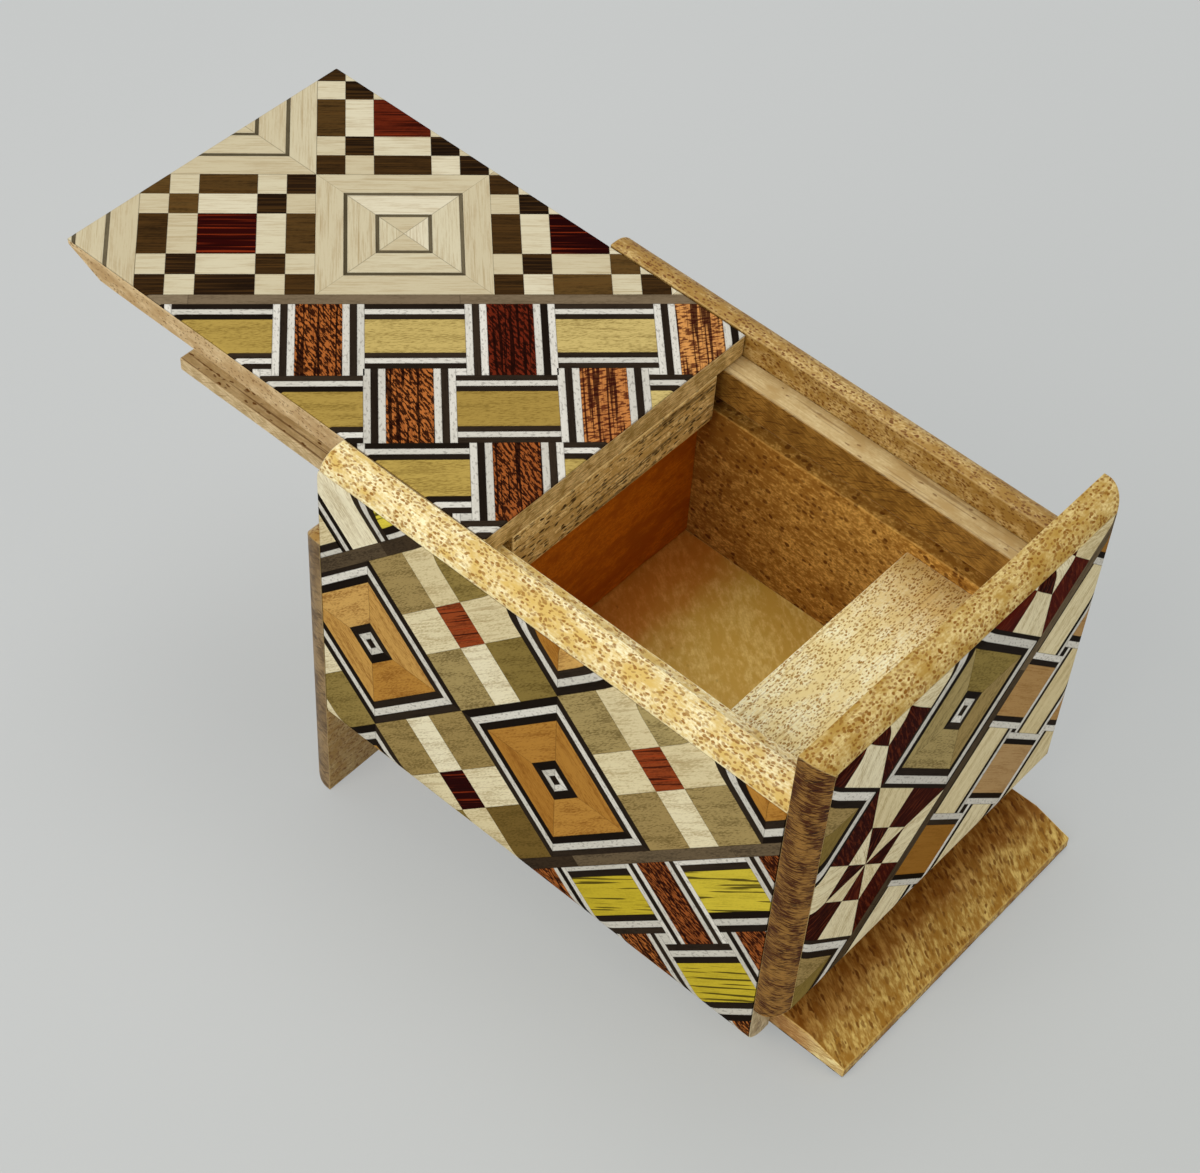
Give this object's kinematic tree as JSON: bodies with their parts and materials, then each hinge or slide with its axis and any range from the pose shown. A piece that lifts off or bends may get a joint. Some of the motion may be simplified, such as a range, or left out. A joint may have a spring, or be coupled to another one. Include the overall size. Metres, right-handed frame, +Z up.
{
  "type": "japanese puzzle box",
  "caption": "Small wooden secret box with marquetry faces, half opened: end boards shifted, bottom board drawn out and lid slid off a square compartment.",
  "frame": {"origin": "middle of the box's underside, on the outer face of the bottom board", "axes": "+X along the box's length, towards the end board that is raised; +Y towards the back long side; +Z up, towards the lid"},
  "size_m": [0.103, 0.044, 0.0584],
  "materials": {
    "beech": "satin varnish over flecked beech",
    "lid_wood": "smooth bare wood, greyed",
    "runner_wood": "bare beech, worn by sliding",
    "inner_wood": "bare wood",
    "yosegi": "satin lacquer over marquetry of natural woods"
  },
  "bodies": {
    "box": {"front_side_board": "beech", "front_yosegi_sheet": "yosegi", "back_side_board": "beech", "back_yosegi_sheet": "yosegi", "front_top_tongue": "runner_wood", "back_top_tongue": "runner_wood", "front_bottom_tongue": "runner_wood", "back_bottom_tongue": "runner_wood", "front_liner": "runner_wood", "back_liner": "runner_wood", "compartment_floor": "inner_wood", "left_cross_wall": "inner_wood", "right_cross_wall": "inner_wood", "right_ledge": "beech", "left_front_guide": "inner_wood", "left_back_guide": "inner_wood", "right_front_guide": "inner_wood", "right_back_guide": "inner_wood"},
    "lid": {"lid_board": "lid_wood", "lid_yosegi_sheet": "yosegi", "lid_core": "lid_wood", "lid_front_flange": "lid_wood", "lid_back_flange": "lid_wood"},
    "bottom": {"bottom_board": "beech", "bottom_yosegi_sheet": "yosegi", "bottom_core": "beech", "bottom_front_flange": "beech", "bottom_back_flange": "beech"},
    "left_end": {"left_end_board": "beech", "left_end_yosegi_sheet": "yosegi", "left_key_stem": "inner_wood", "left_key_head": "inner_wood", "left_lock_strip": "inner_wood"},
    "right_end": {"right_end_board": "beech", "right_end_yosegi_sheet": "yosegi", "right_key_stem": "inner_wood", "right_key_head": "inner_wood"}
  },
  "joints": [
    {"name": "lid_slide", "type": "slide", "parent": "box", "child": "lid", "axis": [1, 0, 0], "range_m": [0, 0.0382]},
    {"name": "bottom_slide", "type": "slide", "parent": "box", "child": "bottom", "axis": [1, 0, 0], "range_m": [-0.009, 0]},
    {"name": "left_end_slide", "type": "slide", "parent": "box", "child": "left_end", "axis": [0, 0, 1], "range_m": [0, 0.0027]},
    {"name": "right_end_slide", "type": "slide", "parent": "box", "child": "right_end", "axis": [0, 0, 1], "range_m": [-0.0036, 0]}
  ]
}
